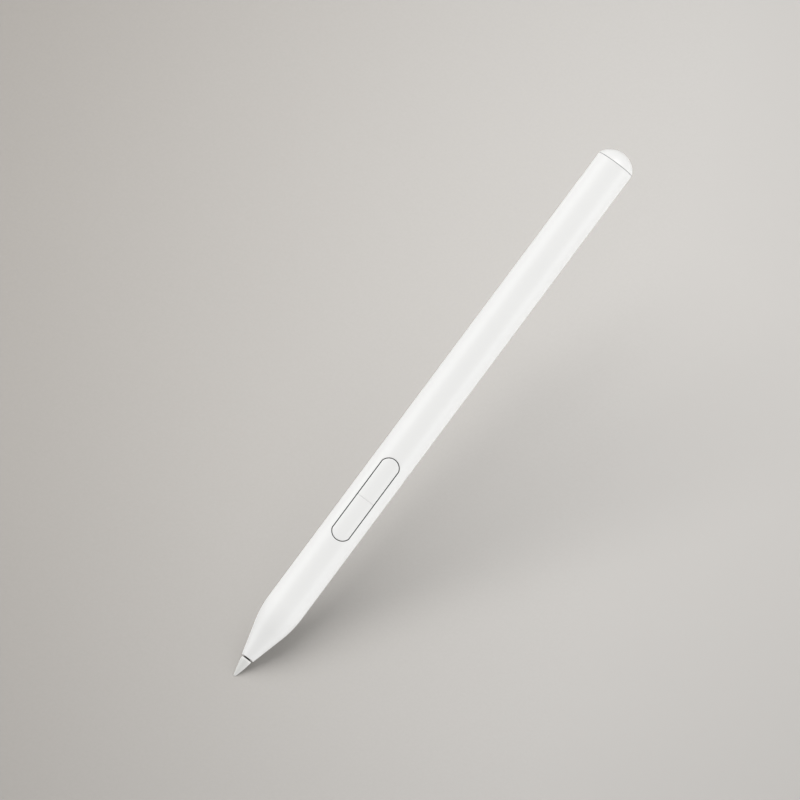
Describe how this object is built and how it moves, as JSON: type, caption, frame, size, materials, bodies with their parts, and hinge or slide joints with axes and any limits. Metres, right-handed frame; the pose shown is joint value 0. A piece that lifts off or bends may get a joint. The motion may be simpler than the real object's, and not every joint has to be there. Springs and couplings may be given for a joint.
{
  "type": "stylus pen",
  "caption": "Slim round stylus pen with a tapered nose, replaceable nib, flush rocker key on the grip and a domed pull-off tail cap over its charging socket.",
  "frame": {"origin": "the writing tip", "axes": "+Z along the pen's axis from the tip to the tail, with the rocker key facing -Y"},
  "size_m": [0.0094, 0.0094, 0.153],
  "materials": {
    "white_shell": "satin",
    "nib_plastic": "satin",
    "cap_rubber": "matte",
    "shaft_black": "matte",
    "black_plastic": "matte",
    "switch_black": "matte",
    "stem_grey": "matte",
    "steel": "satin",
    "nickel_strip": "satin",
    "copper_alloy": "satin",
    "board_green": "satin",
    "chip_black": "matte",
    "ceramic": "matte",
    "cell_sleeve": "satin",
    "foam": "matte",
    "flex_amber": "satin"
  },
  "bodies": {
    "pen_body": {"barrel": "white_shell", "nose_bush": "black_plastic", "front_carrier": "black_plastic", "chassis": "black_plastic", "usb_clamp": "black_plastic", "usb_tongue": "black_plastic", "spring_seat": "black_plastic", "front_switch_body": "switch_black", "rear_switch_body": "switch_black", "return_spring": "steel", "rocker_bracket": "steel", "board_screws": "steel", "usb_shell": "steel", "crystal_can": "steel", "force_sensor": "steel", "battery_tabs": "nickel_strip", "tilt_electrode": "copper_alloy", "usb_contacts": "copper_alloy", "main_board": "board_green", "usb_board": "board_green", "sensor_board": "board_green", "processor_chip": "chip_black", "radio_chip": "chip_black", "power_chip": "chip_black", "charge_chip": "chip_black", "chip_antenna": "ceramic", "passives": "ceramic", "battery_cell": "cell_sleeve", "battery_pads": "foam", "link_flex": "flex_amber"},
    "shaft": {"nib_shaft": "shaft_black"},
    "nib": {"nib": "nib_plastic"},
    "key": {"rocker_key": "white_shell", "pivot_pin": "steel"},
    "front_stem": {"front_switch_stem": "stem_grey"},
    "rear_stem": {"rear_switch_stem": "stem_grey"},
    "cap": {"tail_cap": "white_shell", "cap_plug": "cap_rubber"}
  },
  "joints": [
    {"name": "nib_press", "type": "slide", "parent": "pen_body", "child": "shaft", "axis": [0, 0, 1], "range_m": [0, 0.00025], "stiffness_N_per_m": 2000, "deforming": ["return_spring"]},
    {"name": "nib_pull", "type": "slide", "parent": "shaft", "child": "nib", "axis": [0, 0, -1], "range_m": [0, 0.008]},
    {"name": "key_rock", "type": "hinge", "parent": "pen_body", "child": "key", "pos_m": [0, -0.0027, 0.0512], "axis": [1, 0, 0], "range_deg": [-2, 2], "stiffness_Nm_per_rad": 0.2},
    {"name": "front_stem_press", "type": "slide", "parent": "pen_body", "child": "front_stem", "axis": [0, 1, 0], "range_m": [-0.0004, 0.0004]},
    {"name": "rear_stem_press", "type": "slide", "parent": "pen_body", "child": "rear_stem", "axis": [0, 1, 0], "range_m": [-0.0004, 0.0004]},
    {"name": "cap_pull", "type": "slide", "parent": "pen_body", "child": "cap", "axis": [0, 0, 1], "range_m": [0, 0.012]}
  ],
  "couplings": [
    {"joint": "front_stem_press", "follows": "key_rock", "m_per_rad": 0.007},
    {"joint": "rear_stem_press", "follows": "key_rock", "m_per_rad": -0.007}
  ]
}
